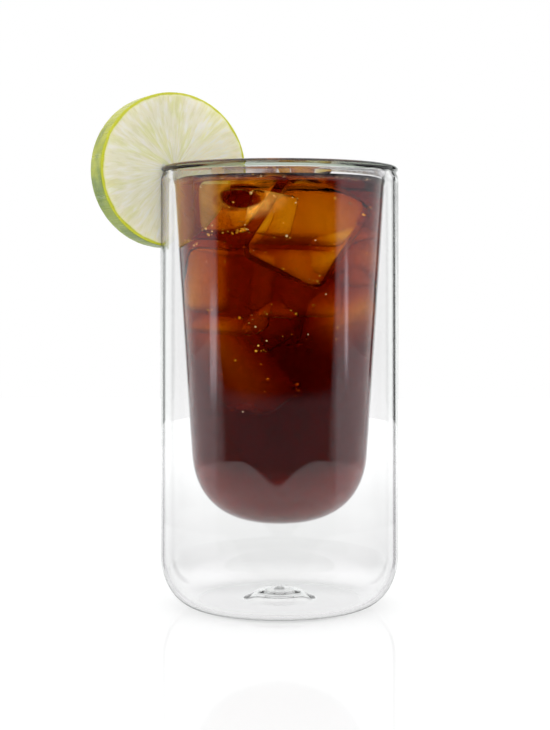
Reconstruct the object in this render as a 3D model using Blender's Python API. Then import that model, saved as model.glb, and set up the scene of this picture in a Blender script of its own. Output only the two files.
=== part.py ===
"""A cuba libre: cola on ice in a double-walled long-drink glass, with a thick lime slice on its rim."""

import math

import bmesh
import bpy
from mathutils import Euler, Matrix, Vector

# Driving dimensions, in metres. The glass stands on z = 0 with its axis upright.
GLASS_RADIUS = 0.0375
GLASS_HEIGHT = 0.138
WALL = 0.0015
CUP_WALL = 0.0014
TURN_STEPS = 48

# The lip where the two walls are fused: an ellipse across the rim, the outer wall drawn in a little under it.
LIP_SET_BACK = 0.00015
LIP_HALF_WIDTH = 0.00195
LIP_HALF_HEIGHT = 0.00115
LIP_CENTRE = (GLASS_RADIUS - LIP_SET_BACK - LIP_HALF_WIDTH, GLASS_HEIGHT - LIP_HALF_HEIGHT)
LIP_INNER_ANGLE = 190.0
LIP_OUTER_ANGLE = -48.0
NECK_TOP = LIP_CENTRE[1] - 0.0009
NECK_HEIGHT = 0.0032
NECK_DEPTH = 0.00075

# The top of the hollow between the walls, up inside the lip.
VAULT_BASE = LIP_CENTRE[1] - 0.0019
VAULT_HEIGHT = 0.0012
VAULT_INSET = 0.00025

# The outer wall's round foot, the push-up in its middle and the vent in that.
FOOT_REACH = 0.0119
FOOT_RISE = 0.0161
KICK_RADIUS = 0.0115
KICK_TOP_RADIUS = 0.0053
KICK_HEIGHT = 0.0030
VENT_RADIUS = 0.0017

# The plug in the vent.
SEAL_HEAD_RADIUS = 0.0047
SEAL_HEAD_THICKNESS = 0.0013
SEAL_NUB_RISE = 0.0011
SEAL_EDGE = 0.0003

# The inner cup: a taper down to its shoulder, then a round bottom; near the rim it flares out into the lip.
CUP_RADIUS_AT_SHOULDER = 0.0278
CUP_SHOULDER = 0.050
CUP_TAPER = 0.0655
CUP_BOTTOM_DEPTH = 0.024
CUP_ROUNDNESS = 2.6
CUP_FLARE_START = 0.131
CUP_FLARE_SPAN = 0.75

# The free space between two solids that touch in the real thing.
GAP = 0.0003

DRINK_LEVEL = 0.133

LIME_RADIUS = 0.02435
LIME_THICKNESS = 0.0106
LIME_RIND = 0.0012
LIME_EDGE = 0.0004
LIME_HUB_RADIUS = 0.0022
LIME_HUB_DEPTH = 0.0005
LIME_CENTRE = Vector((-0.03495, 0.0, 0.1367))
LIME_TURN = math.radians(25.0)
LIME_STEPS = 48

# Each lump of ice: centre, size, turn in degrees, and how far its right-hand side leans out over its height.
ICE_EDGE_RADIUS = 0.0036
ICE_LUMPS = {
    "ice_1": {"centre": (-0.0131, -0.0112, 0.1261), "size": (0.0183, 0.0220, 0.0174),
              "turn": (6.6, -2.8, -3.3), "lean": 0.65},
    "ice_2": {"centre": (0.0075, -0.0124, 0.1182), "size": (0.0235, 0.0198, 0.0304),
              "turn": (-4.7, 29.6, 0.2), "lean": 0.0},
    "ice_3": {"centre": (0.0037, 0.0139, 0.1256), "size": (0.0298, 0.0164, 0.0202),
              "turn": (-15.0, 0.2, 41.4), "lean": 0.0},
}

# The hollow melted right through the left-hand lump and filled with the drink: a long ellipsoid.
HOLLOW_LUMP = "ice_1"
HOLLOW = {"centre": (-0.0103, -0.0030, 0.1277), "size": (0.0124, 0.0460, 0.0070), "turn": (1.4, 0.0, -4.0)}


def clear_scene():
    for thing in list(bpy.data.objects):
        bpy.data.objects.remove(thing, do_unlink=True)


def make_material(name, colour, roughness, transmission=0.0, ior=1.45):
    material = bpy.data.materials.new(name)
    material.use_nodes = True
    shader = material.node_tree.nodes["Principled BSDF"]
    shader.inputs["Base Color"].default_value = (*colour, 1.0)
    shader.inputs["Roughness"].default_value = roughness
    shader.inputs["Metallic"].default_value = 0.0
    shader.inputs["Transmission Weight"].default_value = transmission
    shader.inputs["IOR"].default_value = ior
    material.diffuse_color = (*colour, 1.0)
    return material


def add_object(name, mesh_build, material):
    mesh = bpy.data.meshes.new(name)
    mesh_build.to_mesh(mesh)
    mesh_build.free()
    mesh.shade_smooth()
    mesh.set_sharp_from_angle(angle=math.radians(35.0))
    thing = bpy.data.objects.new(name, mesh)
    bpy.context.scene.collection.objects.link(thing)
    if material is not None:
        mesh.materials.append(material)
    return thing


def turned(profile, steps):
    """A closed body from (radius, height) points that start and end on the axis, or form a ring."""
    build = bmesh.new()
    points = [build.verts.new((radius, 0.0, height)) for radius, height in profile]
    edges = [build.edges.new(pair) for pair in zip(points, points[1:])]
    if profile[0][0] > 0.0:
        edges.append(build.edges.new((points[-1], points[0])))
    bmesh.ops.spin(build, geom=points + edges, cent=(0, 0, 0), axis=(0, 0, 1),
                   angle=math.tau, steps=steps, use_merge=True)
    bmesh.ops.remove_doubles(build, verts=build.verts, dist=0.000005)
    bmesh.ops.recalc_face_normals(build, faces=build.faces)
    return build


def arc(centre, half_width, half_height, start, end, count):
    """Points on an ellipse from one angle to another, in degrees, both ends included."""
    points = []
    for index in range(count + 1):
        angle = math.radians(start + (end - start) * index / count)
        points.append((centre[0] + half_width * math.cos(angle), centre[1] + half_height * math.sin(angle)))
    return points


def cup_point(height_share, inset):
    """A point of the cup's round bottom: 0 on the axis, 1 at the shoulder, moved in by the wall."""
    angle = height_share * math.pi / 2
    depth = CUP_BOTTOM_DEPTH - inset
    drop = depth * math.cos(angle) ** (2 / CUP_ROUNDNESS)
    reach = math.sin(angle) ** (2 / CUP_ROUNDNESS)
    height = CUP_SHOULDER - drop
    return (cup_radius(height, inset) * reach, height)


def cup_radius(height, inset):
    """The radius of the cup's tapered wall, its outer face moved in by the inset."""
    return CUP_RADIUS_AT_SHOULDER + CUP_TAPER * (height - CUP_SHOULDER) - inset


def cup_bottom(inset, count):
    points = [cup_point(index / count, inset) for index in range(count + 1)]
    points[0] = (0.0, points[0][1])
    return points


def foot(reach_inset, count):
    """The round corner of the outer wall, from its side to its flat underside."""
    centre = (GLASS_RADIUS - FOOT_REACH, FOOT_RISE)
    return arc(centre, FOOT_REACH - reach_inset, FOOT_RISE - reach_inset, 0, -90, count)


def soft_step(share):
    return share * share * (3 - 2 * share)


def flare_radius(height, inset):
    """The cup's wall from the start of its flare up to the lip, moved in by the inset."""
    share = (height - CUP_FLARE_START) / (LIP_CENTRE[1] - CUP_FLARE_START)
    low = cup_radius(CUP_FLARE_START, inset)
    high = LIP_CENTRE[0] - LIP_HALF_WIDTH + CUP_WALL - inset
    return low + (high - low) * soft_step(share * CUP_FLARE_SPAN) / soft_step(CUP_FLARE_SPAN)


def flare(inset, top, count):
    heights = [CUP_FLARE_START + (top - CUP_FLARE_START) * index / count for index in range(count + 1)]
    return [(flare_radius(height, inset), height) for height in heights]


def lip(grow, count):
    """Over the rim, from the flare's inner face to the neck of the outer wall."""
    return arc(LIP_CENTRE, LIP_HALF_WIDTH + grow, LIP_HALF_HEIGHT + grow, LIP_INNER_ANGLE, LIP_OUTER_ANGLE, count)


def neck(grow, count):
    """The outer wall under the lip, drawn in at the top and back to full width at the bottom."""
    points = []
    for index in range(count + 1):
        share = index / count
        inward = NECK_DEPTH * (1 - math.sin(share * math.pi / 2))
        points.append((GLASS_RADIUS + grow - inward, NECK_TOP - NECK_HEIGHT * share))
    return points


def kick(base, count):
    """The push-up in the foot, a soft rise from its rim to its flat top."""
    points = []
    for index in range(count + 1):
        share = index / count
        radius = KICK_RADIUS + (KICK_TOP_RADIUS - KICK_RADIUS) * share
        points.append((radius, base + KICK_HEIGHT * soft_step(share)))
    return points


def vault(count):
    """The crown of the hollow, from the outer wall over to the cup."""
    wide = GLASS_RADIUS - WALL - VAULT_INSET
    narrow = flare_radius(VAULT_BASE, 0.0)
    middle = ((wide + narrow) / 2, VAULT_BASE)
    return arc(middle, (wide - narrow) / 2, VAULT_HEIGHT, 0, 180, count)


def glass_profile():
    profile = cup_bottom(CUP_WALL, 9)
    profile += flare(CUP_WALL, LIP_CENTRE[1] - LIP_HALF_HEIGHT / 2, 4)
    profile += lip(0.0, 10)
    profile += neck(0.0, 4)
    profile += foot(0.0, 8)
    profile += kick(0.0, 5)
    profile += [(VENT_RADIUS, KICK_HEIGHT), (VENT_RADIUS, KICK_HEIGHT + WALL)]
    profile += list(reversed(kick(WALL, 5)))
    profile += list(reversed(foot(WALL, 7)))
    profile += [(GLASS_RADIUS - WALL, NECK_TOP - NECK_HEIGHT)]
    profile += vault(5)
    profile += list(reversed(flare(0.0, VAULT_BASE, 4)))[1:]
    profile += list(reversed(cup_bottom(0.0, 9)))
    return profile


def build_glass():
    material = make_material("clear_glass", (0.93, 0.96, 0.95), 0.02, 1.0, 1.47)
    add_object("glass", turned(glass_profile(), TURN_STEPS), material)


def build_base_seal():
    """A mushroom plug from below: its head lies in the push-up, its stem goes through the vent."""
    material = make_material("seal", (0.90, 0.91, 0.90), 0.25, 0.6, 1.43)
    stem = VENT_RADIUS - GAP
    head_top = KICK_HEIGHT - GAP
    head_low = head_top - SEAL_HEAD_THICKNESS
    nub_top = KICK_HEIGHT + WALL + SEAL_NUB_RISE
    profile = [(0.0, nub_top), (stem - 2 * SEAL_EDGE, nub_top), (stem, nub_top - 2 * SEAL_EDGE), (stem, head_top),
               (SEAL_HEAD_RADIUS - SEAL_EDGE, head_top), (SEAL_HEAD_RADIUS, head_top - SEAL_EDGE),
               (SEAL_HEAD_RADIUS, head_low + SEAL_EDGE), (SEAL_HEAD_RADIUS - SEAL_EDGE, head_low), (0.0, head_low)]
    add_object("base_seal", turned(profile, 24), material)


def lime_body(grow):
    """The whole slice, a disc with rounded edges, its hub a little sunken."""
    half = LIME_THICKNESS / 2 + grow
    radius = LIME_RADIUS + grow
    face = [(0.0, half - LIME_HUB_DEPTH), (LIME_HUB_RADIUS, half - LIME_EDGE / 4),
            (radius - LIME_RIND, half), (radius - LIME_EDGE, half - LIME_EDGE / 4), (radius, half - LIME_EDGE)]
    profile = face + [(reach, -height) for reach, height in reversed(face)]
    build = turned(profile, LIME_STEPS)
    upright = Matrix.Rotation(LIME_TURN, 4, "Z") @ Matrix.Rotation(math.pi / 2, 4, "X")
    bmesh.ops.transform(build, matrix=Matrix.Translation(LIME_CENTRE) @ upright, verts=build.verts)
    return build


def rim_cutter():
    """The rim and both walls as one thick ring, a gap larger all round: the slit that the slice sits on by."""
    low = LIME_CENTRE.z - LIME_RADIUS - LIME_THICKNESS / 2
    profile = [(cup_radius(low, CUP_WALL + GAP), low)]
    profile += flare(CUP_WALL + GAP, LIP_CENTRE[1] - LIP_HALF_HEIGHT / 2, 4)
    profile += lip(GAP, 10) + neck(GAP, 4)[1:]
    profile += [(GLASS_RADIUS + GAP, low)]
    return add_cutter("rim_cutter", turned(profile, TURN_STEPS))


def add_cutter(name, build):
    cutter = add_object(name, build, None)
    cutter.hide_render = True
    cutter.display_type = "WIRE"
    return cutter


def cut(thing, cutter):
    boolean = thing.modifiers.new(cutter.name, "BOOLEAN")
    boolean.operation = "DIFFERENCE"
    boolean.object = cutter


def build_lime():
    material = make_material("lime", (0.66, 0.65, 0.34), 0.35)
    lime = add_object("lime_slice", lime_body(0.0), material)
    cut(lime, rim_cutter())


def placed(build, form):
    """The body set at the form's own centre and turn."""
    turn = Euler([math.radians(angle) for angle in form["turn"]]).to_matrix().to_4x4()
    bmesh.ops.transform(build, matrix=Matrix.Translation(form["centre"]) @ turn, verts=build.verts)
    bmesh.ops.recalc_face_normals(build, faces=build.faces)
    return build


def ice_body(lump, grow):
    """A worn cube: round edges, its right-hand side leaning outward over its height."""
    build = bmesh.new()
    bmesh.ops.create_cube(build, size=1.0)
    size = Vector(lump["size"]) + Vector((2 * grow,) * 3)
    bmesh.ops.scale(build, vec=size, verts=build.verts)
    for vert in build.verts:
        if vert.co.x > 0.0:
            vert.co.x += lump["lean"] * vert.co.z
    bmesh.ops.bevel(build, geom=build.edges, offset=ICE_EDGE_RADIUS, segments=3, profile=0.5, affect="EDGES")
    return placed(build, lump)


def hollow_body(shrink):
    build = bmesh.new()
    bmesh.ops.create_uvsphere(build, u_segments=24, v_segments=12, radius=0.5)
    size = Vector(HOLLOW["size"]) - Vector((2 * shrink,) * 3)
    bmesh.ops.scale(build, vec=size, verts=build.verts)
    return placed(build, HOLLOW)


def build_ice():
    material = make_material("ice", (0.95, 0.97, 0.98), 0.05, 1.0, 1.31)
    for name, lump in ICE_LUMPS.items():
        ice = add_object(name, ice_body(lump, 0.0), material.copy())
        if name == HOLLOW_LUMP:
            cut(ice, add_cutter("hollow", hollow_body(0.0)))


def drink_profile():
    inset = CUP_WALL + GAP
    return cup_bottom(inset, 9) + flare(inset, DRINK_LEVEL, 2) + [(0.0, DRINK_LEVEL)]


def build_drink():
    material = make_material("cola", (0.10, 0.025, 0.01), 0.03, 1.0, 1.34)
    drink = add_object("drink", turned(drink_profile(), TURN_STEPS), material)
    cut(drink, add_cutter("lime_clearance", lime_body(GAP)))
    for name, lump in ICE_LUMPS.items():
        clearance = add_cutter(name + "_clearance", ice_body(lump, GAP))
        if name == HOLLOW_LUMP:
            cut(clearance, add_cutter("hollow_filling", hollow_body(GAP)))
        cut(drink, clearance)


def stand_on_origin():
    """Centre the footprint on the origin: the slice reaches out to one side, so the axis is off it."""
    left = min((lime_point.x for lime_point in lime_points()))
    middle = (left + GLASS_RADIUS) / 2
    for thing in bpy.context.scene.objects:
        thing.location.x -= middle


def lime_points():
    lime = bpy.data.objects["lime_slice"]
    return [lime.matrix_world @ vert.co for vert in lime.data.vertices]


def main():
    clear_scene()
    build_glass()
    build_base_seal()
    build_lime()
    build_ice()
    build_drink()
    stand_on_origin()


main()
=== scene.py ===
import math
import random

import bpy
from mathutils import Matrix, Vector, noise


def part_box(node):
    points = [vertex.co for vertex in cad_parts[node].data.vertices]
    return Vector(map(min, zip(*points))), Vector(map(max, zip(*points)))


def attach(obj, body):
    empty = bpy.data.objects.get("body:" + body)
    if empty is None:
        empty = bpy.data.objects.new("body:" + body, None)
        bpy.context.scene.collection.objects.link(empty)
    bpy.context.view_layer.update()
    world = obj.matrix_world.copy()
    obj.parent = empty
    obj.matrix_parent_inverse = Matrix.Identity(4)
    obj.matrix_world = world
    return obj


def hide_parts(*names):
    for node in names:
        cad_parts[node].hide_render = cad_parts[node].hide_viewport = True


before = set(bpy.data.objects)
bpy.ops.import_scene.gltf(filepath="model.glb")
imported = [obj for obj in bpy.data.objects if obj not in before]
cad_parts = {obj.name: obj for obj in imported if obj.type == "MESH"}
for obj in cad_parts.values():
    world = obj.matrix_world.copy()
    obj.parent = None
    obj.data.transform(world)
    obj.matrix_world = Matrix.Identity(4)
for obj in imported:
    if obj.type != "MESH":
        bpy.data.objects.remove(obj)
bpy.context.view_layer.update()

mm = 0.001

glassLow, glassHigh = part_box("glass")
axisX = (glassLow[0] + glassHigh[0]) / 2
glassRadius = (glassHigh[0] - glassLow[0]) / 2
glassHeight = glassHigh[2]
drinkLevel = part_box("drink")[1][2]


def nothingSelected():
    if bpy.context.mode != "OBJECT":
        bpy.ops.object.mode_set(mode="OBJECT")
    bpy.ops.object.select_all(action="DESELECT")


def pickOnly(piece):
    nothingSelected()
    piece.select_set(True)
    bpy.context.view_layer.objects.active = piece


def nameActive(name):
    piece = bpy.context.active_object
    piece.name = name
    piece.data.name = name
    return piece


def cleanShell(piece):
    pickOnly(piece)
    bpy.ops.object.mode_set(mode="EDIT")
    bpy.ops.mesh.select_all(action="SELECT")
    bpy.ops.mesh.remove_doubles(threshold=0.0000005)
    bpy.ops.mesh.normals_make_consistent(inside=False)
    bpy.ops.object.mode_set(mode="OBJECT")


def settle(piece):
    pickOnly(piece)
    bpy.ops.object.transform_apply(location=True, rotation=True, scale=True)


def smoothShade(piece, degrees):
    pickOnly(piece)
    bpy.ops.object.shade_smooth_by_angle(angle=math.radians(degrees), keep_sharp_edges=False)


def cutWith(piece, cutter):
    cut = piece.modifiers.new("cut", "BOOLEAN")
    cut.operation = "DIFFERENCE"
    cut.object = cutter
    cut.solver = "EXACT"
    pickOnly(piece)
    bpy.ops.object.modifier_apply(modifier=cut.name)
    bpy.data.objects.remove(cutter, do_unlink=True)


def turnedPiece(name, profile, steps):  # one ring of the profile after another, closed at both poles
    nothingSelected()
    bpy.ops.mesh.primitive_circle_add(vertices=steps, radius=profile[0][0], fill_type="TRIFAN",
                                      location=(axisX, 0, profile[0][1]))
    piece = nameActive(name)
    settle(piece)
    bpy.ops.object.mode_set(mode="EDIT")
    bpy.ops.mesh.select_all(action="SELECT")
    bpy.ops.mesh.region_to_loop()
    for before, after in zip(profile, profile[1:]):
        bpy.ops.mesh.extrude_edges_move()
        if after[1] != before[1]:
            bpy.ops.transform.translate(value=(0, 0, after[1] - before[1]))
        if after[0] != before[0]:
            ratio = after[0] / before[0]
            bpy.ops.transform.resize(value=(ratio, ratio, 1), center_override=(axisX, 0, after[1]))
    bpy.ops.mesh.edge_face_add()
    bpy.ops.mesh.poke()
    bpy.ops.object.mode_set(mode="OBJECT")
    cleanShell(piece)
    return piece


def ellipseArc(centre, halfWidth, halfHeight, start, end, count):
    points = []
    for index in range(count + 1):
        angle = math.radians(start + (end - start) * index / count)
        points.append((centre[0] + halfWidth * math.cos(angle), centre[1] + halfHeight * math.sin(angle)))
    return points


def softStep(low, high, value):
    share = min(max((value - low) / (high - low), 0.0), 1.0)
    return share * share * (3 - 2 * share)


def newMaterial(name):
    material = bpy.data.materials.new(name)
    material.use_nodes = True
    return material, material.node_tree, material.node_tree.nodes["Principled BSDF"]


def mathNode(tree, operation, *values):
    node = tree.nodes.new("ShaderNodeMath")
    node.operation = operation
    for socket, value in zip(node.inputs, values):
        if isinstance(value, (int, float)):
            socket.default_value = value
        else:
            tree.links.new(value, socket)
    return node.outputs[0]


def rampNode(tree, value, fromLow, fromHigh, toLow=0.0, toHigh=1.0):  # a soft step
    node = tree.nodes.new("ShaderNodeMapRange")
    node.interpolation_type = "SMOOTHSTEP"
    tree.links.new(value, node.inputs["Value"])
    node.inputs["From Min"].default_value = fromLow
    node.inputs["From Max"].default_value = fromHigh
    node.inputs["To Min"].default_value = toLow
    node.inputs["To Max"].default_value = toHigh
    return node.outputs["Result"]


def product(tree, first, second):
    return mathNode(tree, "MULTIPLY", first, second)


def total(tree, first, second):
    return mathNode(tree, "ADD", first, second)


def blend(tree, share, first, second):  # numbers, as mixColour does for colours
    return mathNode(tree, "MULTIPLY_ADD", mathNode(tree, "SUBTRACT", second, first), share, first)


def reachFrom(tree, first, second):  # the distance from an axis, of the two coordinates across it
    squares = total(tree, mathNode(tree, "POWER", first, 2.0), mathNode(tree, "POWER", second, 2.0))
    return mathNode(tree, "SQRT", squares)


def splitNode(tree, vector):
    node = tree.nodes.new("ShaderNodeSeparateXYZ")
    tree.links.new(vector, node.inputs[0])
    return node.outputs


def mixColour(tree, share, first, second):
    node = tree.nodes.new("ShaderNodeMix")
    node.data_type = "RGBA"
    for socket, value in zip((node.inputs[0], node.inputs[6], node.inputs[7]), (share, first, second)):
        if isinstance(value, (int, float, tuple)):
            socket.default_value = value
        else:
            tree.links.new(value, socket)
    return node.outputs[2]


def placedCoordinates(tree, centre, turn=(0, 0, 0)):  # object coordinates, centred and turned on a piece
    place = tree.nodes.new("ShaderNodeTexCoord")
    move = tree.nodes.new("ShaderNodeMapping")
    move.vector_type = "TEXTURE"
    move.inputs["Location"].default_value = centre
    move.inputs["Rotation"].default_value = turn
    tree.links.new(place.outputs["Object"], move.inputs["Vector"])
    return move.outputs["Vector"]


def noiseNode(tree, vector, scale, detail=2.0, roughness=0.5):
    node = tree.nodes.new("ShaderNodeTexNoise")
    tree.links.new(vector, node.inputs["Vector"])
    node.inputs["Scale"].default_value = scale
    node.inputs["Detail"].default_value = detail
    node.inputs["Roughness"].default_value = roughness
    return node.outputs["Fac"]


def bumpFrom(tree, shader, height, distance, strength=1.0):
    node = tree.nodes.new("ShaderNodeBump")
    node.inputs["Strength"].default_value = strength
    node.inputs["Distance"].default_value = distance
    tree.links.new(height, node.inputs["Height"])
    tree.links.new(node.outputs["Normal"], shader.inputs["Normal"])


# the glass: two walls fused at the lip, one body, with the hollow between them open at the vent
cup = {
    "shoulderRadius": 27.8 * mm, "shoulder": 50 * mm, "taper": 0.0655, "bottomDepth": 24 * mm,
    "roundness": 2.6, "wall": 1.4 * mm, "flareStart": 131 * mm,
}
outer = {
    "wall": 1.5 * mm, "footReach": 11.9 * mm, "footRise": 16.1 * mm, "lipHalfWidth": 1.95 * mm,
    "lipHalfHeight": 1.15 * mm, "lipSetBack": 0.15 * mm, "vaultDrop": 1.9 * mm, "vaultHeight": 1.2 * mm,
    "kickRadius": 11.5 * mm, "kickTopRadius": 5.3 * mm, "kickHeight": 3 * mm, "ventRadius": 1.7 * mm,
    "neckStart": 0.9 * mm, "neckHeight": 3.2 * mm, "neckDepth": 0.75 * mm,
    "clearness": 1.47, "lipTint": (0.50, 0.56, 0.48, 1), "waveScale": 55, "waveDepth": 0.02 * mm,
}
lipCentre = (glassRadius - outer["lipSetBack"] - outer["lipHalfWidth"],
             glassHeight - outer["lipHalfHeight"])
poleRadius = 0.3 * mm  # a turned piece starts and ends with a ring of this size


def cupRadius(height, inset):
    return cup["shoulderRadius"] + cup["taper"] * (height - cup["shoulder"]) - inset


def cupBottom(inset, count):
    points = []
    depth = cup["bottomDepth"] - inset
    for index in range(count + 1):
        angle = index / count * math.pi / 2
        height = cup["shoulder"] - depth * math.cos(angle) ** (2 / cup["roundness"])
        points.append((cupRadius(height, inset) * math.sin(angle) ** (2 / cup["roundness"]), height))
    points[0] = (poleRadius, points[0][1])
    return points


def cupSide(inset, low, high, count):
    return [(cupRadius(low + (high - low) * index / count, inset), low + (high - low) * index / count)
            for index in range(1, count + 1)]


def flareRadius(height, inset):  # the cup above the start of its flare, up to the lip
    share = (height - cup["flareStart"]) / (lipCentre[1] - cup["flareStart"])
    low = cupRadius(cup["flareStart"], inset)
    high = lipCentre[0] - outer["lipHalfWidth"] + cup["wall"] - inset
    return low + (high - low) * softStep(0, 1, share * 0.75) / softStep(0, 1, 0.75)


def flare(inset, top, count):
    low = cup["flareStart"]
    heights = [low + (top - low) * index / count for index in range(1, count + 1)]
    return [(flareRadius(height, inset), height) for height in heights]


def neck(inset, count):  # the outer wall drawn in a little under the lip
    top = lipCentre[1] - outer["neckStart"]
    points = []
    for index in range(count + 1):
        share = index / count
        radius = glassRadius - inset - outer["neckDepth"] * (1 - math.sin(share * math.pi / 2))
        points.append((radius, top - outer["neckHeight"] * share))
    return points


def footCorner(inset, count):
    centre = (glassRadius - outer["footReach"], outer["footRise"])
    return ellipseArc(centre, outer["footReach"] - inset, outer["footRise"] - inset, 0, -90, count)


def kick(top, low):  # the push-up in the base, from the flat foot in to the vent
    points = []
    for index in range(9):
        share = index / 8
        radius = outer["kickRadius"] + (outer["kickTopRadius"] - outer["kickRadius"]) * share
        points.append((radius, low + (top - low) * softStep(0, 1, share)))
    return points


def vault():  # the top of the hollow, up inside the lip
    base = lipCentre[1] - outer["vaultDrop"]
    wide = glassRadius - outer["wall"] - 0.25 * mm
    narrow = flareRadius(base, 0)
    middle = ((wide + narrow) / 2, base)
    return base, ellipseArc(middle, (wide - narrow) / 2, outer["vaultHeight"], 0, 180, 16)


def glassProfile():
    base, crown = vault()
    ventTop = outer["kickHeight"] + outer["wall"]
    points = cupBottom(cup["wall"], 30)
    points += cupSide(cup["wall"], cup["shoulder"], cup["flareStart"], 16)
    points += flare(cup["wall"], lipCentre[1] - 0.6 * mm, 8)
    points += ellipseArc(lipCentre, outer["lipHalfWidth"], outer["lipHalfHeight"], 190, -48, 34)
    points += neck(0, 8)
    points += footCorner(0, 26)
    points += kick(outer["kickHeight"], 0)
    points += [(outer["ventRadius"], outer["kickHeight"]), (outer["ventRadius"], ventTop)]
    points += list(reversed(kick(ventTop, outer["wall"])))
    points += list(reversed(footCorner(outer["wall"], 26)))
    points += [(glassRadius - outer["wall"], lipCentre[1] - outer["neckStart"] - outer["neckHeight"])]
    points += crown
    points += list(reversed(flare(0, base, 8)))[1:]
    points += list(reversed(cupSide(0, cup["shoulder"], cup["flareStart"], 16)))
    points += list(reversed(cupBottom(0, 30)))[1:]
    return points


def clearMaterial(name, ior):
    material, tree, shader = newMaterial(name)
    shader.inputs["Base Color"].default_value = (1, 1, 1, 1)
    shader.inputs["Roughness"].default_value = 0.0
    shader.inputs["IOR"].default_value = ior
    shader.inputs["Transmission Weight"].default_value = 1.0
    return material, tree, shader


def glassMaterial():  # blown by hand: the faint waves that the breath leaves down the walls
    material, tree, shader = clearMaterial("blownGlass", outer["clearness"])
    place = placedCoordinates(tree, (axisX, 0, 0))
    bumpFrom(tree, shader, noiseNode(tree, place, outer["waveScale"], 1.0), outer["waveDepth"], 0.35)
    # the lip is thick enough to dim what comes through it
    height = splitNode(tree, place)["Z"]
    atLip = rampNode(tree, height, lipCentre[1] - 1.5 * mm, lipCentre[1] - 0.6 * mm)
    tree.links.new(mixColour(tree, atLip, (1, 1, 1, 1), outer["lipTint"]), shader.inputs["Base Color"])
    return material


print("glass")
glass = turnedPiece("doubleWalledGlass", glassProfile(), 160)
smoothShade(glass, 50)
glass.data.materials.append(glassMaterial())
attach(glass, "root")
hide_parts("glass")


# the seal that is pressed into the vent after the hollow has dried
seal = {
    "headRadius": 4.7 * mm, "intoVent": 0.03 * mm, "headThick": 1.3 * mm, "nubRise": 1.1 * mm,
    "clearness": 1.40, "roughness": 0.3, "glowShare": 0.07, "glowColour": (0.97, 1.0, 0.98, 1), "dentScale": 700,
}


def sealProfile():
    stem = outer["ventRadius"] + seal["intoVent"]
    headTop = outer["kickHeight"] + seal["intoVent"]
    nubTop = outer["kickHeight"] + outer["wall"] + seal["nubRise"]
    fillet = 0.1 * mm
    edge = seal["headThick"] / 2
    points = ellipseArc((0, nubTop - stem), stem, stem, 85, 0, 8)
    points += [(stem, headTop + fillet), (stem + fillet, headTop)]
    points += [(seal["headRadius"] - 3 * fillet, headTop)]
    points += ellipseArc((seal["headRadius"] - edge, headTop - edge), edge, edge, 70, -90, 10)
    points += [(poleRadius, headTop - seal["headThick"])]
    return points


def sealMaterial():
    material, tree, shader = clearMaterial("sealClear", seal["clearness"])
    dents = noiseNode(tree, placedCoordinates(tree, (axisX, 0, 0)), seal["dentScale"], 2.0)
    bumpFrom(tree, shader, dents, 0.02 * mm, 0.3)
    shader.inputs["Roughness"].default_value = seal["roughness"]
    # painted light: the seal glows faintly white, more in some spots than others, which lightens its dark
    # edges
    shader.inputs["Emission Color"].default_value = seal["glowColour"]
    sealGlow = rampNode(tree, dents, 0.2, 0.8, seal["glowShare"] * 0.8, seal["glowShare"])
    tree.links.new(sealGlow, shader.inputs["Emission Strength"])
    return material


print("seal")
baseSeal = turnedPiece("baseSeal", sealProfile(), 64)
smoothShade(baseSeal, 40)
baseSeal.data.materials.append(sealMaterial())
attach(baseSeal, "root")
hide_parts("base_seal")


# the ice: worn cubes, the first three breaking the surface and the rest sunk
ice = {
    "edgeRadius": 3.6 * mm, "thinEdge": 0.4, "reach": 0.04 * mm, "unevenness": 0.4 * mm,
    "waveLength": 8 * mm, "clearness": 1.31, "againstDrink": 0.987, "frostScale": 240, "dentScale": 420,
    "haloScale": 330, "haloLight": 0.4, "haloTint": (1.0, 0.60, 0.20, 1),
}
# millimetres from the glass's axis and degrees; "node" is the solid that a lump takes the place of
iceLumps = {
    "iceLeft": {"node": "ice_1", "centre": (-13.1, -11.2, 126.1), "size": (18.3, 22.0, 17.4),
                "turn": (6.6, -2.8, -3.3), "lean": 0.65, "hollowed": True},
    "iceRight": {"node": "ice_2", "centre": (7.5, -12.4, 118.2), "size": (23.5, 19.8, 30.4),
                 "turn": (-4.7, 29.6, 0.2)},
    "iceBack": {"node": "ice_3", "centre": (3.7, 13.9, 125.6), "size": (29.8, 16.4, 20.2),
                "turn": (-15.0, 0.2, 41.4)},
    "iceDeep": {"centre": (-11.0, -4.6, 76.7), "size": (14.1, 20.6, 31.7),
                "turn": (6.4, -39.0, 23.7)},
    "iceLeftWall": {"centre": (-19.9, -7.5, 104.3), "size": (14.1, 14.1, 22.9),
                    "turn": (7.6, 0.1, 4.1)},
    "iceRightLow": {"centre": (16.4, -1.5, 91.6), "size": (14.5, 21.4, 25.5),
                    "turn": (48.2, 34.2, -17.8)},
    "iceRightWall": {"centre": (17.4, 7.0, 111.0), "size": (13.7, 17.4, 17.6),
                     "turn": (-40.4, 65.9, -68.3)},
    "iceBackLeft": {"centre": (-11.9, 7.8, 99.9), "size": (20.2, 13.4, 26.8),
                    "turn": (11.5, 6.4, -13.2)},
    "iceBackMiddle": {"centre": (3.0, 19.3, 102.7), "size": (15.4, 14.6, 22.1),
                      "turn": (3.7, -1.0, 50.2)},
    "iceFrontChip": {"centre": (-2.6, -20.3, 88.5), "size": (11.8, 11.4, 14.0),
                     "turn": (-56.0, -32.8, -71.9)},
    "iceBackChip": {"centre": (-9.5, 21.7, 120.7), "size": (12.9, 11.1, 17.0),
                    "turn": (-18.7, 20.9, 16.9), "hollowed": True},
    "iceFrontSliver": {"centre": (-2.5, -26.6, 122.0), "size": (14.0, 5.6, 13.5),
                       "turn": (0.0, 12.0, -5.0)},
}
# the hollow that has melted right through the left lump
hollow = {"centre": (-10.3, -3.0, 127.7), "size": (12.4, 46.0, 7.0), "turn": (1.4, 0, -4)}


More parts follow.
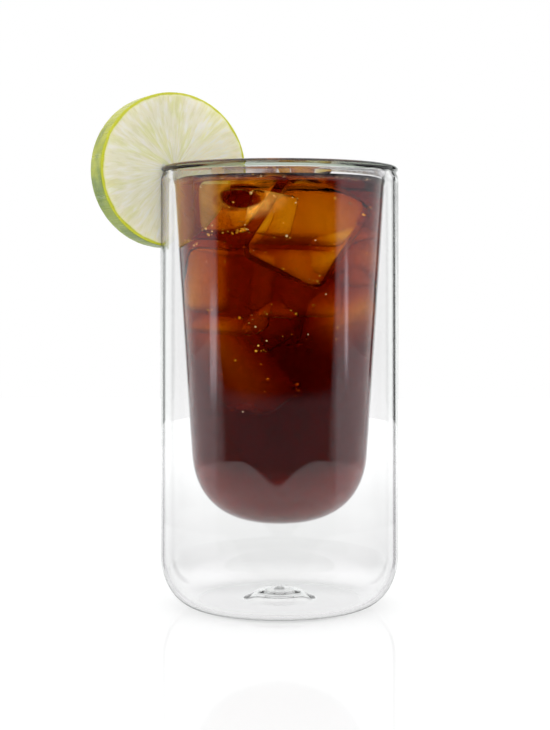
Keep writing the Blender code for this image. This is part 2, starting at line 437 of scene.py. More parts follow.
def iceShape(name, lump, grow):  # a cube bevelled, leant and turned into place
    nothingSelected()
    bpy.ops.mesh.primitive_cube_add(size=1, location=(0, 0, 0))
    piece = nameActive(name)
    piece.scale = [side * mm + 2 * grow for side in lump["size"]]
    settle(piece)
    for vertex in piece.data.vertices:
        if vertex.co.x > 0:
            vertex.co.x += lump.get("lean", 0) * vertex.co.z
    rounding = min(ice["edgeRadius"], ice["thinEdge"] * min(lump["size"]) * mm)
    bpy.ops.object.mode_set(mode="EDIT")
    bpy.ops.mesh.select_all(action="SELECT")
    bpy.ops.mesh.bevel(offset=rounding, segments=5, affect="EDGES")
    bpy.ops.mesh.select_all(action="SELECT")
    bpy.ops.mesh.subdivide(number_cuts=3)
    bpy.ops.object.mode_set(mode="OBJECT")
    piece.rotation_euler = [math.radians(angle) for angle in lump["turn"]]
    piece.location = Vector(lump["centre"]) * mm + Vector((axisX, 0, 0))
    settle(piece)
    for vertex in piece.data.vertices:
        wave = noise.noise(vertex.co / ice["waveLength"] + Vector((len(name.replace("Cut", "")), 0, 0)))
        vertex.co -= vertex.normal * ice["unevenness"] * (wave * 0.5 + 0.5)
    cleanShell(piece)
    if lump.get("hollowed"):
        cutWith(piece, hollowShape(grow))
    return piece


def hollowShape(shrink):
    nothingSelected()
    bpy.ops.mesh.primitive_uv_sphere_add(segments=48, ring_count=24, radius=0.5, location=(0, 0, 0))
    piece = nameActive("hollow")
    piece.scale = [side * mm - 2 * shrink for side in hollow["size"]]
    piece.rotation_euler = [math.radians(angle) for angle in hollow["turn"]]
    piece.location = Vector(hollow["centre"]) * mm + Vector((axisX, 0, 0))
    settle(piece)
    return piece


def iceMaterial():
    material, tree, shader = clearMaterial("wetIce", ice["clearness"])
    place = placedCoordinates(tree, (axisX, 0, 0))
    split = splitNode(tree, place)
    # it bends light as ice does in the air, and hardly at all where it is in the drink
    low = drinkLevel - ice["reach"]
    high = drinkLevel + ice["reach"]
    bending = rampNode(tree, split["Z"], low, high, ice["againstDrink"], ice["clearness"])
    tree.links.new(bending, shader.inputs["IOR"])
    frost = noiseNode(tree, place, ice["frostScale"], 3.0, 0.6)
    tree.links.new(rampNode(tree, frost, 0.62, 0.80, 0.0, 0.10), shader.inputs["Roughness"])
    bumpFrom(tree, shader, noiseNode(tree, place, ice["dentScale"], 2.0), 0.05 * mm, 0.35)
    # painted highlight: the ice glows round the mouth of its hollow, by how many times the hollow's half
    # size it is away
    across = mathNode(tree, "SUBTRACT", split["X"], hollow["centre"][0] * mm)
    across = mathNode(tree, "DIVIDE", across, hollow["size"][0] / 2 * mm)
    upward = mathNode(tree, "SUBTRACT", split["Z"], hollow["centre"][2] * mm)
    upward = mathNode(tree, "DIVIDE", upward, hollow["size"][2] / 2 * mm)
    away = reachFrom(tree, across, upward)
    halo = product(tree, rampNode(tree, away, 0.95, 1.15), rampNode(tree, away, 2.3, 1.2))
    halo = product(tree, halo, rampNode(tree, split["Y"], -12 * mm, -15 * mm))
    patchy = rampNode(tree, noiseNode(tree, place, ice["haloScale"], 3.0), 0.30, 0.75, 0.25, 1.0)
    halo = product(tree, halo, patchy)
    shader.inputs["Emission Color"].default_value = ice["haloTint"]
    tree.links.new(product(tree, halo, ice["haloLight"]), shader.inputs["Emission Strength"])
    return material


print("ice")
wetIce = iceMaterial()
icePieces = {}
for name, lump in iceLumps.items():
    piece = iceShape(name, lump, ice["reach"])
    smoothShade(piece, 60)
    piece.data.materials.append(wetIce)
    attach(piece, "root")
    if "node" in lump:
        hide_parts(lump["node"])
    icePieces[name] = piece


# the lime slice: set over both walls, its outer half in front of the glass and its inner half in the drink
lime = {
    "radius": 24.35 * mm, "thickness": 10.6 * mm, "centre": (-34.95, 0, 136.7), "turn": 25,
    "zest": 0.6 * mm, "pith": 0.6 * mm, "hub": 1.6 * mm, "relief": 0.2 * mm, "streakCount": 17,
    "streakLength": 5 * mm, "poreSize": 1.1 * mm, "poreDepth": 0.09 * mm,
    "flesh": (0.86, 0.83, 0.63, 1), "fleshPale": (0.93, 0.91, 0.83, 1), "fleshGreen": (0.81, 0.80, 0.46, 1),
    "pithColour": (0.84, 0.83, 0.56, 1), "zestColour": (0.56, 0.58, 0.035, 1),
    "peel": (0.30, 0.385, 0.06, 1), "peelDark": (0.19, 0.275, 0.055, 1),
    "peelYellow": (0.58, 0.60, 0.035, 1), "glandScale": 950, "patchScale": 95,
    "amberInDrink": (0.78, 0.47, 0.20, 1), "throughLight": 0.36, "softLight": 0.16,
}
limeCentre = Vector(lime["centre"]) * mm + Vector((axisX, 0, 0))
limeTurn = math.radians(lime["turn"])
limeAcross = Vector((math.cos(limeTurn), math.sin(limeTurn), 0))
limeAxis = Vector((-math.sin(limeTurn), math.cos(limeTurn), 0))


def limeShape(name, grow, steps, rings):
    half = lime["thickness"] / 2 + grow
    radius = lime["radius"] + grow
    cutEdge = radius - 0.6 * mm
    straight = half - 0.7 * mm
    points = [(cutEdge * (0.02 + 0.98 * index / rings), half) for index in range(rings + 1)]
    points += [(radius - 0.2 * mm, half - 0.22 * mm), (radius, straight)]
    points += [(radius, straight - straight * index / 6) for index in range(1, 7)]
    mirrored = [(reach, -height) for reach, height in reversed(points[:-1])]
    piece = turnedPiece(name, points + mirrored, steps)
    piece.location.x = -axisX
    settle(piece)
    piece.rotation_euler = (math.radians(90), 0, 0)
    settle(piece)
    piece.rotation_euler = (0, 0, limeTurn)
    piece.location = limeCentre
    settle(piece)
    return piece


def carveLime(piece):  # juice cells raised along the radius, a sunken hub, and pores all over the peel
    half = lime["thickness"] / 2
    fleshEdge = lime["radius"] - lime["zest"] - lime["pith"]
    for vertex in piece.data.vertices:
        away = vertex.co - limeCentre
        along = away.dot(limeAxis)
        across = away.dot(limeAcross)
        reach = math.hypot(across, away.z)
        if reach > lime["radius"] - 0.15 * mm:
            pore = noise.noise(vertex.co / lime["poreSize"]) * 0.5 + 0.5
            outward = (limeAcross * across + Vector((0, 0, away.z))) / reach
            vertex.co -= outward * lime["poreDepth"] * pore
        elif abs(along) > half - 0.05 * mm and reach < lime["radius"] - 0.4 * mm:
            acrossTurn = across / reach * lime["streakCount"]
            upTurn = away.z / reach * lime["streakCount"]
            otherFace = 9 if along > 0 else 0
            cell = noise.noise(Vector((acrossTurn, upTurn, reach / lime["streakLength"] + otherFace)))
            fine = noise.noise(Vector((acrossTurn * 2.6, upTurn * 2.6, reach / (3 * mm))))
            inside = 1 - softStep(fleshEdge - 0.8 * mm, fleshEdge, reach)
            depth = lime["relief"] * (0.5 - 0.5 * cell - 0.2 * fine) * inside
            depth += 0.35 * mm * (1 - softStep(0.3 * mm, lime["hub"], reach))
            vertex.co -= limeAxis * math.copysign(max(depth, 0), along)


def rimCutter():  # both walls and the lip as one thick ring, a hair larger all round
    gap = 0.05 * mm
    low = (lime["centre"][2] * mm) - lime["radius"] - 4 * mm
    points = [(cupRadius(height, cup["wall"]) - gap, height) for height in (low, cup["flareStart"])]
    points += [(radius - gap, height) for radius, height in flare(cup["wall"], lipCentre[1] - 0.6 * mm, 8)]
    points += ellipseArc(lipCentre, outer["lipHalfWidth"] + gap, outer["lipHalfHeight"] + gap, 190, -48, 24)
    points += [(radius + gap, height) for radius, height in neck(0, 8)]
    points += [(glassRadius + gap, low)]
    nothingSelected()
    bpy.ops.mesh.primitive_circle_add(vertices=160, radius=points[0][0], location=(axisX, 0, points[0][1]))
    ring = nameActive("rimCutter")
    settle(ring)
    bpy.ops.object.mode_set(mode="EDIT")
    bpy.ops.mesh.select_all(action="SELECT")
    for before, after in zip(points, points[1:] + points[:1]):
        bpy.ops.mesh.extrude_edges_move()
        bpy.ops.transform.translate(value=(0, 0, after[1] - before[1]))
        ratio = after[0] / before[0]
        bpy.ops.transform.resize(value=(ratio, ratio, 1), center_override=(axisX, 0, after[1]))
    bpy.ops.object.mode_set(mode="OBJECT")
    cleanShell(ring)
    return ring


def limeMaterial():
    material, tree, shader = newMaterial("limeSkinAndFlesh")
    placed = placedCoordinates(tree, tuple(limeCentre), (0, 0, limeTurn))
    split = splitNode(tree, placed)
    flat = tree.nodes.new("ShaderNodeCombineXYZ")
    tree.links.new(split["X"], flat.inputs["X"])
    tree.links.new(split["Z"], flat.inputs["Y"])
    length = tree.nodes.new("ShaderNodeVectorMath")
    length.operation = "LENGTH"
    tree.links.new(flat.outputs[0], length.inputs[0])
    reach = length.outputs["Value"]
    towards = tree.nodes.new("ShaderNodeVectorMath")
    towards.operation = "NORMALIZE"
    tree.links.new(flat.outputs[0], towards.inputs[0])

    def streaks(count, size, detail):  # noise drawn out along the radius, with no seam round the slice
        scaled = tree.nodes.new("ShaderNodeVectorMath")
        scaled.operation = "SCALE"
        scaled.inputs["Scale"].default_value = count
        tree.links.new(towards.outputs[0], scaled.inputs[0])
        lift = tree.nodes.new("ShaderNodeCombineXYZ")
        tree.links.new(product(tree, reach, 1 / size), lift.inputs["Z"])
        summed = tree.nodes.new("ShaderNodeVectorMath")
        tree.links.new(scaled.outputs[0], summed.inputs[0])
        tree.links.new(lift.outputs[0], summed.inputs[1])
        return noiseNode(tree, summed.outputs[0], 1.0, detail)

    broad = streaks(3.2, 14 * mm, 1.0)
    cells = streaks(lime["streakCount"], lime["streakLength"], 2.0)
    threads = streaks(52, 3.5 * mm, 1.0)
    flesh = mixColour(tree, rampNode(tree, broad, 0.46, 0.66), lime["flesh"], lime["fleshGreen"])
    pale = product(tree, rampNode(tree, cells, 0.47, 0.70), 0.75)
    flesh = mixColour(tree, pale, flesh, lime["fleshPale"])
    thin = product(tree, rampNode(tree, threads, 0.56, 0.74), 0.45)
    flesh = mixColour(tree, thin, flesh, lime["fleshPale"])
    deep = product(tree, rampNode(tree, cells, 0.44, 0.28), 0.45)
    flesh = mixColour(tree, deep, flesh, lime["fleshGreen"])
    fleshEdge = lime["radius"] - lime["zest"] - lime["pith"]
    uneven = mathNode(tree, "MULTIPLY_ADD", noiseNode(tree, placed, 260, 1.0), 0.9 * mm, reach)
    atPith = rampNode(tree, uneven, fleshEdge, fleshEdge + 0.6 * mm)
    body = mixColour(tree, atPith, flesh, lime["pithColour"])
    atZest = rampNode(tree, uneven, lime["radius"] - lime["zest"] - 0.1 * mm, lime["radius"] - 0.2 * mm)
    body = mixColour(tree, atZest, body, lime["zestColour"])
    patches = noiseNode(tree, placed, lime["patchScale"], 3.0)
    peel = mixColour(tree, rampNode(tree, patches, 0.38, 0.62), lime["peelDark"], lime["peel"])
    height = mathNode(tree, "MULTIPLY_ADD", split["Z"], 18.0, product(tree, patches, 1.1))
    peel = mixColour(tree, rampNode(tree, height, 0.50, 0.92), peel, lime["peelYellow"])
    glands = tree.nodes.new("ShaderNodeTexVoronoi")
    glands.inputs["Scale"].default_value = lime["glandScale"]
    tree.links.new(placed, glands.inputs["Vector"])
    dots = rampNode(tree, glands.outputs["Distance"], 0.36, 0.12)
    peel = mixColour(tree, product(tree, dots, 0.35), peel, lime["peelYellow"])
    cutEdge = rampNode(tree, mathNode(tree, "ABSOLUTE", split["Y"]), 4.7 * mm, 5.1 * mm)
    peel = mixColour(tree, product(tree, cutEdge, 0.85), peel, lime["zestColour"])
    onPeel = rampNode(tree, reach, lime["radius"] - 0.32 * mm, lime["radius"] - 0.16 * mm)
    skin = mixColour(tree, onPeel, body, peel)
    # the part in the drink is amber, and a painted glow stands in for light from behind
    inDrink = splitNode(tree, placedCoordinates(tree, (axisX, 0, drinkLevel)))
    aside = reachFrom(tree, inDrink["X"], inDrink["Y"])
    within = mathNode(tree, "LESS_THAN", aside, cupRadius(drinkLevel, cup["wall"]))
    submerged = product(tree, within, rampNode(tree, inDrink["Z"], 0.3 * mm, -0.3 * mm))
    amberSkin = mixColour(tree, mathNode(tree, "MULTIPLY_ADD", patches, -0.2, 0.35), lime["amberInDrink"], skin)
    skin = mixColour(tree, submerged, skin, amberSkin)
    tree.links.new(skin, shader.inputs["Base Color"])
    tree.links.new(skin, shader.inputs["Emission Color"])
    # the glass keeps some light off the cut face beside it, and a painted glow gives it back
    slanted = mathNode(tree, "MULTIPLY_ADD", split["Z"], -0.5, split["X"])
    beside = rampNode(tree, slanted, -16 * mm, 6 * mm, 0.0, lime["softLight"])
    aglow = product(tree, beside, mathNode(tree, "SUBTRACT", 1.0, onPeel))
    lit = lime["throughLight"]
    lit = rampNode(tree, inDrink["X"], -19 * mm, -25 * mm, lit, lit * 1.7)
    tree.links.new(blend(tree, submerged, aglow, lit), shader.inputs["Emission Strength"])
    tree.links.new(rampNode(tree, cells, 0.3, 0.7, 0.24, 0.42), shader.inputs["Roughness"])
    shader.inputs["Subsurface Weight"].default_value = 0.85
    shader.inputs["Subsurface Radius"].default_value = (1.0, 0.9, 0.55)
    shader.inputs["Subsurface Scale"].default_value = 3.0 * mm
    relief = total(tree, product(tree, cells, 0.6), product(tree, threads, 0.5))
    pitted = product(tree, dots, -0.8)
    bumpFrom(tree, shader, blend(tree, onPeel, relief, pitted), 0.12 * mm, 0.8)
    return material


print("lime")
limeSlice = limeShape("limeSlice", 0, 240, 26)
carveLime(limeSlice)
cutWith(limeSlice, rimCutter())
smoothShade(limeSlice, 50)
limeSlice.data.materials.append(limeMaterial())
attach(limeSlice, "root")
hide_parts("lime_slice")


# the drink: it reaches just into the cup's wall, and the ice and the slice reach just into it
drink = {
    "intoWall": 0.05 * mm, "intoLime": 0.15 * mm, "meniscus": 0.8 * mm, "absorb": 445,
    "tint": (0.878, 0.70, 0.0, 1), "clearness": 1.333, "rippleScale": 160, "rippleDepth": 0.10 * mm,
}


def drinkProfile():
    inset = cup["wall"] - drink["intoWall"]
    points = cupBottom(inset, 30)
    points += cupSide(inset, cup["shoulder"], cup["flareStart"], 16)
    points += flare(inset, drinkLevel + drink["meniscus"], 4)
    wallRadius = points[-1][0]
    for step in range(1, 9):
        inward = 3.0 * mm * step / 8
        climb = drink["meniscus"] * math.exp(-inward / (0.9 * mm))
        points.append((wallRadius - inward, drinkLevel + climb))
    points += [(wallRadius - 4.5 * mm, drinkLevel), (12 * mm, drinkLevel), (0.5 * mm, drinkLevel)]
    return points


def drinkMaterial():
    material, tree, shader = clearMaterial("colaBrown", drink["clearness"])
    # the walls round the ice bend nothing, as the ice does that itself
    cavity = tree.nodes.new("ShaderNodeAttribute")
    cavity.attribute_name = "cavity"
    tree.links.new(blend(tree, cavity.outputs["Fac"], drink["clearness"], 1.0), shader.inputs["IOR"])
    absorb = tree.nodes.new("ShaderNodeVolumeAbsorption")
    absorb.inputs["Color"].default_value = drink["tint"]
    absorb.inputs["Density"].default_value = drink["absorb"]
    tree.links.new(absorb.outputs["Volume"], tree.nodes["Material Output"].inputs["Volume"])
    place = placedCoordinates(tree, (axisX, 0, drinkLevel))
    onTop = rampNode(tree, splitNode(tree, place)["Z"], -0.5 * mm, -0.1 * mm)
    ripples = product(tree, noiseNode(tree, place, drink["rippleScale"], 2.0), onTop)
    bumpFrom(tree, shader, ripples, drink["rippleDepth"], 0.35)
    return material


def joinTurnedInward(piece, hole):  # a sunk lump leaves a hollow that is a shell of its own, inside out
    pickOnly(hole)
    bpy.ops.object.mode_set(mode="EDIT")
    bpy.ops.mesh.select_all(action="SELECT")
    bpy.ops.mesh.flip_normals()
    bpy.ops.object.mode_set(mode="OBJECT")
    pickOnly(piece)
    hole.select_set(True)
    bpy.ops.object.join()


def markCavities(piece):  # the faces that look in on the ice, well clear of the cup and of the level
    marks = piece.data.attributes.new("cavity", "FLOAT", "FACE")
    for face in piece.data.polygons:
        away = math.hypot(face.center.x - axisX, face.center.y)
        inner = cupRadius(face.center.z, cup["wall"] + 0.1 * mm)
        sunk = cup["shoulder"] < face.center.z < drinkLevel - 0.01 * mm
        marks.data[face.index].value = 1.0 if sunk and away < inner else 0.0


print("drink")
cola = turnedPiece("colaDrink", drinkProfile(), 160)
for name, lump in iceLumps.items():
    if "node" in lump:
        cutWith(cola, iceShape(name + "Cut", lump, 0))
cutWith(cola, limeShape("limeCut", -drink["intoLime"], 96, 4))
for name, lump in iceLumps.items():
    if "node" not in lump:
        joinTurnedInward(cola, iceShape(name + "Cut", lump, 0))
smoothShade(cola, 40)
markCavities(cola)
cola.data.materials.append(drinkMaterial())
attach(cola, "root")
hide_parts("drink")


# bubbles: round the waterline, on the ice and on the wall of the cup
bubbles = {
    "waterline": 210, "waterlineSize": (0.2, 0.5), "onWall": 60, "onWallSize": (0.10, 0.22),
    "onIce": 230, "onIceSize": (0.14, 0.34), "underCube": 22, "underCubeSize": (0.2, 0.42),
    "gleam": 0.55, "gleamTint": (1.0, 0.86, 0.66, 1), "film": (0.97, 0.95, 0.92, 1),
}


def strewBubbles(name, spots):  # one small sphere copied to every spot, then joined
    nothingSelected()
    bpy.ops.mesh.primitive_uv_sphere_add(segments=8, ring_count=6, radius=1, location=(0, 0, 0))
    first = nameActive(name)
    copies = []
    for spot, radius in spots:
        copied = first.copy()
        copied.data = first.data.copy()
        copied.scale = (radius, radius, radius)
        copied.location = spot
        bpy.context.scene.collection.objects.link(copied)
        copies.append(copied)
    bpy.data.objects.remove(first, do_unlink=True)
    nothingSelected()
    for copied in copies:
        copied.select_set(True)
    bpy.context.view_layer.objects.active = copies[0]
    bpy.ops.object.transform_apply(location=True, rotation=True, scale=True)
    bpy.ops.object.join()
    piece = nameActive(name)
    smoothShade(piece, 180)
    return piece


def bubbleMaterial():
    material, tree, shader = clearMaterial("bubbleSkin", 1.33)
    place = placedCoordinates(tree, (axisX, 0, 0))
    tone = noiseNode(tree, place, 300, 1.0)
    tree.links.new(mixColour(tree, tone, (1, 1, 1, 1), bubbles["film"]), shader.inputs["Base Color"])
    # some gleam, and those at the level hardly do
    height = splitNode(tree, place)["Z"]
    sunk = rampNode(tree, height, drinkLevel - 0.8 * mm, drinkLevel - 2.5 * mm, 0.10, 1.0)
    gleam = rampNode(tree, noiseNode(tree, place, 1600, 1.0), 0.42, 0.66, 0.0, bubbles["gleam"])
    shader.inputs["Emission Color"].default_value = bubbles["gleamTint"]
    tree.links.new(product(tree, gleam, sunk), shader.inputs["Emission Strength"])
    return material


def isClear(spot, radius):  # clear of the cup's wall
    room = cupRadius(max(spot.z, cup["shoulder"]), cup["wall"]) - radius - 0.05 * mm
    return math.hypot(spot.x - axisX, spot.y) < room


def bubbleSpots():
    chance = random.Random(11)
    spots = []
    top = drinkLevel + 0.2 * mm
    wall = flareRadius(drinkLevel, cup["wall"])
    for index in range(bubbles["waterline"]):
        radius = chance.uniform(*bubbles["waterlineSize"]) * mm
        angle = chance.uniform(0, 2 * math.pi)
        inward = radius + abs(chance.gauss(0, 0.5)) * mm
        reach = wall - inward
        height = top + 0.4 * mm - inward * 0.4
        spots.append((Vector((axisX + reach * math.cos(angle), reach * math.sin(angle), height)), radius))
    for index in range(bubbles["onWall"]):
        angle = chance.uniform(0, 2 * math.pi)
        height = chance.uniform(34, 130) * mm
        radius = chance.uniform(*bubbles["onWallSize"]) * mm
        reach = 24 * mm
        if height > cup["shoulder"]:
            reach = cupRadius(height, cup["wall"]) - radius - 0.1 * mm
        spots.append((Vector((axisX + reach * math.cos(angle), reach * math.sin(angle), height)), radius))
    pieces = list(icePieces.values())
    smallest, spread = bubbles["onIceSize"]
    for index in range(bubbles["onIce"]):
        piece = pieces[chance.randrange(len(pieces))]
        vertex = piece.data.vertices[chance.randrange(len(piece.data.vertices))]
        radius = smallest * mm + chance.random() ** 3 * spread * mm
        spot = vertex.co + vertex.normal * (radius + 0.06 * mm)
        if spot.z < drinkLevel - 1 * mm:
            spots.append((spot.copy(), radius))
    under = [vertex for vertex in icePieces["iceLeft"].data.vertices
             if vertex.co.y < -15 * mm and vertex.co.z < 118.2 * mm]
    for index in range(bubbles["underCube"]):
        vertex = under[chance.randrange(len(under))]
        radius = chance.uniform(*bubbles["underCubeSize"]) * mm
        spots.append((vertex.co + vertex.normal * (radius + 0.05 * mm), radius))
    return [(spot, radius) for spot, radius in spots if isClear(spot, radius)]


print("bubbles")
fizz = strewBubbles("fizz", bubbleSpots())
fizz.data.materials.append(bubbleMaterial())
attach(fizz, "root")


# floor, light and camera
floor = {
    "frontEdge": -0.16, "backEdge": 0.9, "halfWidth": 0.9, "tone": 0.42, "glow": 0.58, "polish": 0.05,
    "clearness": 1.12, "dark": (0.02, 0.02, 0.02, 1), "sideRight": (60, 74), "sideLeft": (-68, -80),
    "behind": (118, 152), "litReach": (66 * mm, 200 * mm), "litWithin": 52, "litTurn": 3, "litEdge": 8 * mm,
    "sideShare": 0.35, "dimShare": 0.25, "shadeBehind": 0.36, "shadeFrom": (40 * mm, 85 * mm),
    "shadeTo": (500 * mm, 120 * mm), "shadeLeft": 0.15, "dimmer": 0.6, "gathered": 0.25,
}
crossed = {"glass": 0.5, "outerWall": 2.5, "drink": 8.5}  # surfaces that light has come through


def pathTests(tree):  # whether the light has been mirrored, and what it has come through
    path = tree.nodes.new("ShaderNodeLightPath")
    mirrored = mathNode(tree, "GREATER_THAN", path.outputs["Glossy Depth"], 0.5)
    past = {name: mathNode(tree, "GREATER_THAN", path.outputs["Transmission Depth"], surfaces)
            for name, surfaces in crossed.items()}
    return path, mirrored, past


def azimuthNode(tree, split):  # zero in front, in radians, and growing to the right
    return mathNode(tree, "ARCTAN2", split["X"], product(tree, split["Y"], -1.0))


def floorMaterial():
    material, tree, shader = newMaterial("paleFloor")
    wear = noiseNode(tree, placedCoordinates(tree, (0, 0, 0)), 6, 3.0)
    tone = floor["tone"]
    paler = tone * 1.02
    tint = mixColour(tree, wear, (tone, tone, tone, 1), (paler, paler, paler, 1))
    polish = rampNode(tree, wear, 0.2, 0.8, floor["polish"], floor["polish"] * 1.15)
    tree.links.new(polish, shader.inputs["Roughness"])
    shader.inputs["IOR"].default_value = floor["clearness"]
    shader.inputs["Emission Color"].default_value = (1, 1, 1, 1)
    afterMirror, past = pathTests(tree)[1:]
    split = splitNode(tree, placedCoordinates(tree, (axisX, 0, 0)))
    reach = reachFrom(tree, split["X"], split["Y"])
    azimuth = azimuthNode(tree, split)

    def turnedPast(value, degrees):
        return rampNode(tree, value, math.radians(degrees[0]), math.radians(degrees[1]))

    # the floor is dim where the glass mirrors it from the front, and less so at the sides
    side = mathNode(tree, "MAXIMUM", turnedPast(azimuth, floor["sideRight"]),
                    turnedPast(azimuth, floor["sideLeft"]))
    aside = mathNode(tree, "ABSOLUTE", total(tree, azimuth, math.radians(floor["litTurn"])))
    reachLit = rampNode(tree, aside, 0.0, math.radians(floor["litWithin"]), *floor["litReach"])
    beyond = mathNode(tree, "SUBTRACT", reach, reachLit)
    near = rampNode(tree, beyond, floor["litEdge"], -floor["litEdge"])
    behind = turnedPast(mathNode(tree, "ABSOLUTE", azimuth), floor["behind"])
    lit = mathNode(tree, "MAXIMUM", mathNode(tree, "MAXIMUM", behind, near),
                   mathNode(tree, "SUBTRACT", 1.0, afterMirror))
    shown = mathNode(tree, "MAXIMUM", lit, side)
    tree.links.new(mixColour(tree, shown, floor["dark"], tint), shader.inputs["Base Color"])
    lit = mathNode(tree, "MAXIMUM", lit, product(tree, side, floor["sideShare"]))
    lit = mathNode(tree, "MAXIMUM", lit, floor["dimShare"])
    # painted shade: through the glass the floor just behind it is darkened, and dimmed through the whole
    # drink
    far = rampNode(tree, reach, *floor["shadeTo"], floor["shadeLeft"], 1.0)
    shadeBehind = product(tree, rampNode(tree, reach, *floor["shadeFrom"]), far)
    shadeBehind = product(tree, product(tree, shadeBehind, past["glass"]), -floor["shadeBehind"])
    lit = mathNode(tree, "MULTIPLY_ADD", lit, shadeBehind, lit)
    lit = mathNode(tree, "MULTIPLY_ADD", product(tree, lit, past["drink"]), -floor["dimmer"], lit)
    # the floor right under the glass is lit by what the base gathers
    under = product(tree, rampNode(tree, reach, glassRadius + 2 * mm, glassRadius - 6 * mm),
                    rampNode(tree, split["Y"], 18 * mm, 0.0))
    gathered = product(tree, product(tree, under, past["glass"]), floor["gathered"])
    lit = mathNode(tree, "MULTIPLY_ADD", lit, gathered, lit)
    tree.links.new(product(tree, lit, floor["glow"]), shader.inputs["Emission Strength"])
    return material


def makeFloor():
    nothingSelected()
    bpy.ops.mesh.primitive_plane_add(size=1, location=(0, 0, 0))
    piece = nameActive("studioFloor")
    piece.scale = (2 * floor["halfWidth"], floor["backEdge"] - floor["frontEdge"], 1)
    piece.location = (0, (floor["backEdge"] + floor["frontEdge"]) / 2, 0)
    settle(piece)
    piece.visible_glossy = False
    piece.data.materials.append(floorMaterial())
    return piece


# directions in degrees from the front, heights as the upward part of a direction
studio = {
    "windowLeft": -62.5, "windowRight": 55.5, "windowTop": 0.28, "windowLow": 0.145, "cupWidens": 1.23,
    "sideLevel": 0.36, "backLevel": 1.0, "sideEnd": 118, "backStart": 142, "lowLevel": 0.6, "highLevel": 0.9,
    "lampLevel": 3.2, "slatLow": 142.0, "slatHigh": 153.0, "slatLeftLow": -155.5, "slatLeftHigh": -147.4,
    "slatRight": 0.0, "slatLeft": 0.2, "tableEdge": -0.235, "counterDip": 0.17, "counterRise": 0.015,
    "overhead": 0.6, "underHorizon": 0.07, "drinkLow": 0.66, "drinkHigh": 1.30,
    "tint": (0.97, 0.915, 1.0, 1), "backTint": (0.975, 1.0, 0.99, 1),
}
lamps = {
    "left": {"middle": -65.4, "half": 3.6, "soft": 1.6, "low": -0.062, "high": 0.006, "share": 1.0},
    "right": {"middle": 66.2, "half": 1.6, "soft": 2.0, "low": -0.045, "high": 0.037, "share": 1.4},
}


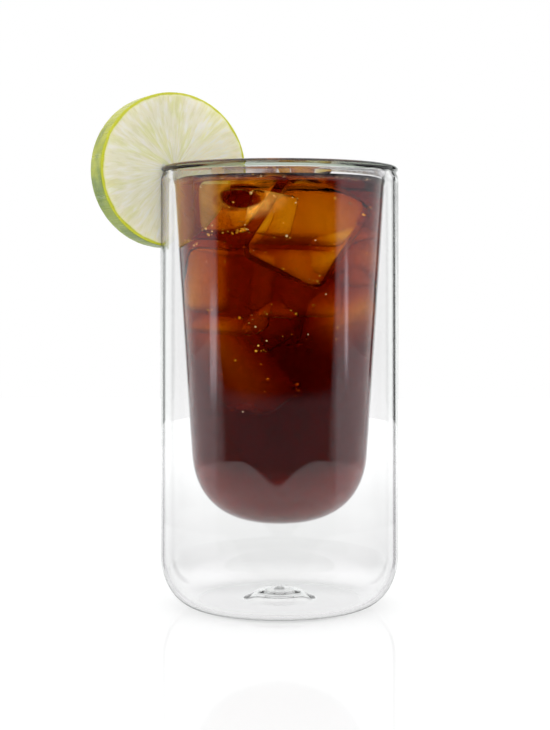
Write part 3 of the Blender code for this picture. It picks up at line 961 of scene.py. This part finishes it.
def makeWorld():  # a white tent; the glass mirrors a dark opening in front, grey sides and two slim lamps
    world = bpy.data.worlds.new("studioTent")
    bpy.context.scene.world = world
    world.use_nodes = True
    tree = world.node_tree
    background = tree.nodes["Background"]
    split = splitNode(tree, tree.nodes.new("ShaderNodeTexCoord").outputs["Generated"])
    path, afterMirror, past = pathTests(tree)
    height = split["Z"]
    radians = azimuthNode(tree, split)
    azimuth = product(tree, radians, 180 / math.pi)
    sideward = mathNode(tree, "ABSOLUTE", azimuth)

    def band(value, low, high, soft):
        return product(tree, rampNode(tree, value, low - soft, low + soft),
                       rampNode(tree, value, high + soft, high - soft))

    def notch(middle, halfWidth, depth):
        away = mathNode(tree, "ABSOLUTE", mathNode(tree, "SUBTRACT", azimuth, middle))
        share = mathNode(tree, "SUBTRACT", 1.0, mathNode(tree, "DIVIDE", away, halfWidth))
        return product(tree, mathNode(tree, "MAXIMUM", share, 0.0), depth)

    def lampLight(lamp):
        across = band(azimuth, lamp["middle"] - lamp["half"], lamp["middle"] + lamp["half"], lamp["soft"])
        upright = band(height, lamp["low"], lamp["high"], 0.02)
        return product(tree, product(tree, across, upright), lamp["share"])

    # the table's edge, with the dark shape of the camera stand over it
    drop = mathNode(tree, "MAXIMUM", notch(-3.0, 52.0, 0.5), notch(50.0, 8.0, 0.2))
    edge = mathNode(tree, "SUBTRACT", studio["tableEdge"], drop)
    aboveEdge = rampNode(tree, mathNode(tree, "SUBTRACT", height, edge), -0.012, 0.012)
    # the cup mirrors the same opening from further round than the outer wall does
    wider = mathNode(tree, "MULTIPLY_ADD", past["outerWall"], studio["cupWidens"] - 1, 1.0)
    narrowed = mathNode(tree, "DIVIDE", azimuth, wider)
    opening = band(narrowed, studio["windowLeft"], studio["windowRight"], 1.5)
    top = studio["windowTop"]
    opening = product(tree, opening, rampNode(tree, height, top + 0.06, top - 0.06))
    # the counter in the opening begins lower in the middle, so that the cup's taper mirrors its edge level
    counter = mathNode(tree, "COSINE", product(tree, radians, 0.5))
    counter = mathNode(tree, "MULTIPLY_ADD", counter, studio["counterDip"], studio["counterRise"])
    counter = rampNode(tree, total(tree, height, counter), 0.006, -0.006, 0.0, studio["windowLow"])
    walls = rampNode(tree, sideward, studio["sideEnd"], studio["backStart"], studio["sideLevel"],
                     studio["backLevel"])
    walls = blend(tree, opening, walls, counter)
    slats = mathNode(tree, "MAXIMUM", band(azimuth, studio["slatLow"], studio["slatHigh"], 0.5),
                     band(azimuth, studio["slatLeftLow"], studio["slatLeftHigh"], 0.5))
    slatLevel = rampNode(tree, azimuth, -90, 90, studio["slatLeft"], studio["slatRight"])
    walls = blend(tree, slats, walls, slatLevel)
    walls = blend(tree, rampNode(tree, height, 0.3, 0.5), walls, studio["highLevel"])
    # two upright lamps, seen in the outermost surface alone
    glow = total(tree, lampLight(lamps["left"]), lampLight(lamps["right"]))
    glow = product(tree, glow, mathNode(tree, "SUBTRACT", 1.0, past["glass"]))
    walls = mathNode(tree, "MULTIPLY_ADD", glow, studio["lampLevel"], walls)
    mirrored = blend(tree, aboveEdge, studio["lowLevel"], walls)
    through = total(tree, rampNode(tree, height, 0.3, 0.6, 1.0, studio["overhead"]),
                    rampNode(tree, height, -0.005, -0.075, 0.0, studio["underHorizon"]))
    # the drink, thinned by the melting ice at its top, passes more light high up than low down
    thinned = rampNode(tree, height, 0.0, 0.10, studio["drinkLow"] - 1, studio["drinkHigh"] - 1)
    through = mathNode(tree, "MULTIPLY_ADD", product(tree, past["drink"], thinned), through, through)
    light = blend(tree, afterMirror, through, mirrored)
    soft = mathNode(tree, "MULTIPLY_ADD", height, 0.16, 0.94)
    light = blend(tree, path.outputs["Is Diffuse Ray"], light, soft)
    light = blend(tree, path.outputs["Is Camera Ray"], light, 1.0)
    tree.links.new(light, background.inputs["Strength"])
    tint = mixColour(tree, rampNode(tree, sideward, 100, 135), studio["tint"], studio["backTint"])
    tree.links.new(mixColour(tree, afterMirror, (1, 1, 1, 1), tint), background.inputs["Color"])


view = {
    "distance": 0.50775, "height": 0.10099, "lens": 79.24, "horizonRow": 283.74, "axisColumn": 279.5,
    "rows": 730, "columns": 550,
}


def makeCamera():
    data = bpy.data.cameras.new("studioCamera")
    camera = bpy.data.objects.new("studioCamera", data)
    bpy.context.scene.collection.objects.link(camera)
    camera.location = (axisX, -view["distance"], view["height"])
    camera.rotation_euler = (math.radians(90), 0, 0)
    data.lens = view["lens"]
    data.sensor_width = 36
    data.shift_x = -(view["axisColumn"] - view["columns"] / 2) / view["rows"]
    data.shift_y = -(view["rows"] / 2 - view["horizonRow"]) / view["rows"]
    data.clip_start = 0.01
    bpy.context.scene.camera = camera


print("studio")
makeFloor()
makeWorld()
makeCamera()
scene = bpy.context.scene
scene.view_settings.view_transform = "Standard"
scene.cycles.max_bounces = 40
scene.cycles.transmission_bounces = 40
scene.cycles.transparent_max_bounces = 16

nothingSelected()
